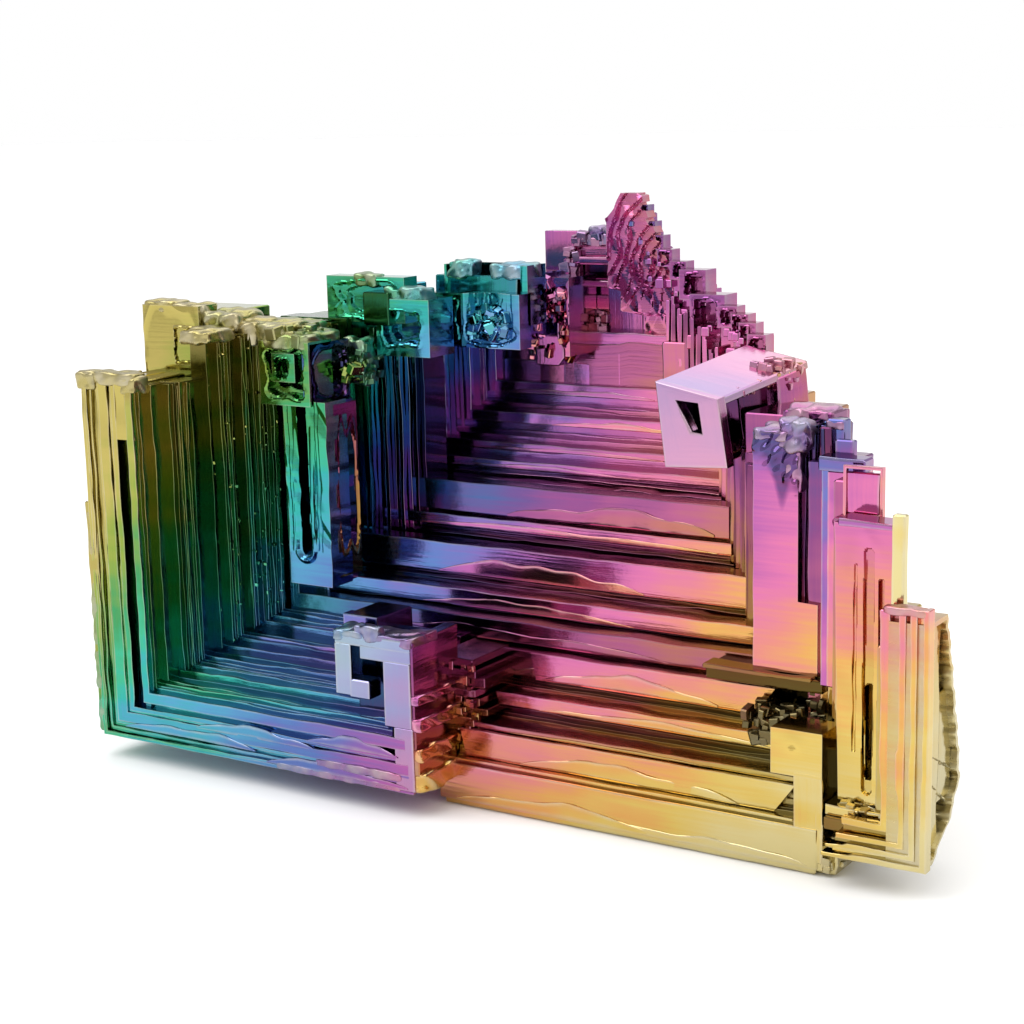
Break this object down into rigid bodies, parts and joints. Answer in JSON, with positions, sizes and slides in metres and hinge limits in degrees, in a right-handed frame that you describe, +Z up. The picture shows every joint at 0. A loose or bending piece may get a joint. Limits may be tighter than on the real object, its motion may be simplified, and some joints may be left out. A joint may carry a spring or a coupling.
{
  "type": "bismuth hopper crystal",
  "caption": "Iridescent stepped bismuth crystal: nested square terraces, ribs and posts around an open hopper hollow, grown as one piece.",
  "frame": {"origin": "middle of the crystal's bounding box, at the height of the face it rests on", "axes": "+X along the long ledges to the right, +Y into the hollow, away from the viewer, +Z up"},
  "size_m": [0.0698, 0.034, 0.0443],
  "materials": {
    "bismuth_oxide_film": "bright bismuth metal under a thin iridescent oxide film"
  },
  "bodies": {
    "root": {"hopper_crystal": "bismuth_oxide_film"}
  },
  "joints": []
}
